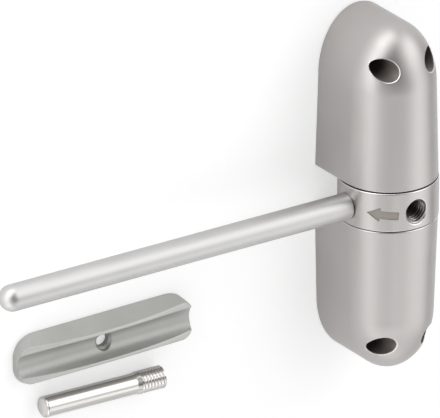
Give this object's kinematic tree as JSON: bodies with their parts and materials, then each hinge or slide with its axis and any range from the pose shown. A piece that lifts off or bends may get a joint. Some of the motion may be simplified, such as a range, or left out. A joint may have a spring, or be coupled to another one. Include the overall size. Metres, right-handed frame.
{
  "type": "spring door closer",
  "caption": "Surface-mounted spring door closer: two domed housings on a spindle, a sprung collar with a round arm, a grooved guide plate and a loose tension pin.",
  "frame": {"origin": "centre of the four frame screw holes, on the mounting plane that the flat backs lie on", "axes": "+X to the right, away from the arm, which points along -X; +Y along the spindle towards the upper housing; +Z out of the mounting plane towards the front"},
  "size_m": [0.1692, 0.1236, 0.0355],
  "materials": {
    "cast_silver": "satin pearl silver on die-cast zinc",
    "collar_silver": "satin pearl silver on die-cast zinc",
    "arm_steel": "satin",
    "plate_plastic": "satin, moulded",
    "pin_nickel": "polished nickel",
    "ground_steel": "ground",
    "spring_steel": "oiled",
    "black_steel": "black oxide",
    "bush_bronze": "plain",
    "guide_nylon": "plain"
  },
  "bodies": {
    "closer_body": {"upper_housing": "cast_silver", "lower_housing": "cast_silver", "spindle": "ground_steel", "upper_spring": "spring_steel", "lower_spring": "spring_steel", "upper_spring_guide": "guide_nylon", "lower_spring_guide": "guide_nylon", "upper_retaining_ring": "black_steel", "lower_retaining_ring": "black_steel", "upper_thrust_washer": "bush_bronze", "lower_thrust_washer": "bush_bronze", "upper_set_screw": "black_steel", "lower_set_screw": "black_steel", "guide_plate": "plate_plastic", "tension_pin": "pin_nickel"},
    "arm": {"tension_collar": "collar_silver", "upper_collar_bush": "bush_bronze", "lower_collar_bush": "bush_bronze", "arm_rod": "arm_steel"}
  },
  "joints": [
    {"name": "arm_swing", "type": "hinge", "parent": "closer_body", "child": "arm", "pos_m": [0, 0, 0.0187], "axis": [0, 1, 0], "range_deg": [0, 180], "stiffness_Nm_per_rad": 1.4, "deforming": ["upper_spring", "lower_spring"]}
  ]
}
